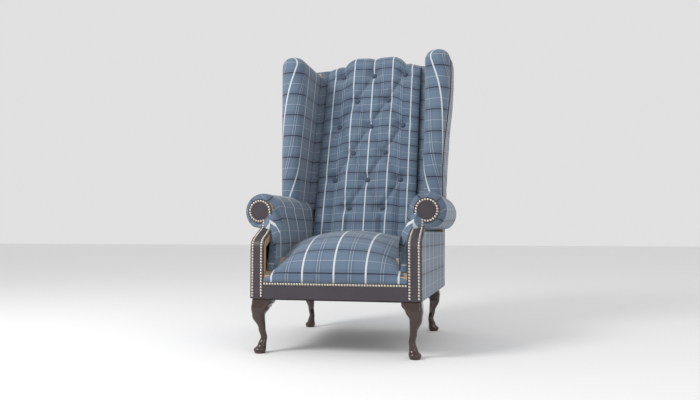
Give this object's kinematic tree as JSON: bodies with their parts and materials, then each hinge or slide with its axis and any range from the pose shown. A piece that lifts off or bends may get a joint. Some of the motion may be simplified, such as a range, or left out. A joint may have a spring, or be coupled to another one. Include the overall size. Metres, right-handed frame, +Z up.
{
  "type": "fireside chair",
  "caption": "Tall upholstered wing chair with scroll arms, a buttoned back, a sprung seat and cabriole legs.",
  "frame": {"origin": "on the floor, under the middle of the chair's overall box", "axes": "+Z up, the chair faces -Y, +X is to the right of someone who looks at its front"},
  "size_m": [0.788, 0.8849, 1.3005],
  "materials": {
    "frame_wood": "sawn beech, unfinished",
    "leg_wood": "dark polished mahogany",
    "steel": "plain steel",
    "plaid": "wool check",
    "leather": "dark smooth leather",
    "webbing": "jute",
    "canvas": "hessian",
    "lining": "black lining cloth"
  },
  "bodies": {
    "root": {"front_leg_left": "leg_wood", "front_leg_right": "leg_wood", "rear_leg_left": "leg_wood", "rear_leg_right": "leg_wood", "front_seat_rail": "frame_wood", "rear_seat_rail": "frame_wood", "side_seat_rail_left": "frame_wood", "side_seat_rail_right": "frame_wood", "corner_blocks": "frame_wood", "back_post_left": "frame_wood", "back_post_right": "frame_wood", "lower_back_rail": "frame_wood", "top_back_rail": "frame_wood", "arm_front_stump_left": "frame_wood", "arm_front_stump_right": "frame_wood", "arm_top_rail_left": "frame_wood", "arm_top_rail_right": "frame_wood", "arm_tacking_rail_left": "frame_wood", "arm_tacking_rail_right": "frame_wood", "wing_front_post_left": "frame_wood", "wing_front_post_right": "frame_wood", "wing_top_rail_left": "frame_wood", "wing_top_rail_right": "frame_wood", "leg_bolts": "steel", "seat_springs": "steel", "seat_webbing": "webbing", "back_webbing": "webbing", "spring_canvas": "canvas", "dust_cover": "lining", "arm_pad_left": "plaid", "arm_pad_right": "plaid", "back_pad": "plaid", "back_buttons": "plaid", "seat_pad": "plaid", "wing_pad_left": "plaid", "wing_pad_right": "plaid", "wing_outside_panel_left": "plaid", "wing_outside_panel_right": "plaid", "arm_outside_panel_left": "plaid", "arm_outside_panel_right": "plaid", "outside_back_panel": "plaid", "arm_facing_left": "leather", "arm_facing_right": "leather", "front_border": "leather", "wing_trim_left": "leather", "wing_trim_right": "leather"}
  },
  "joints": []
}
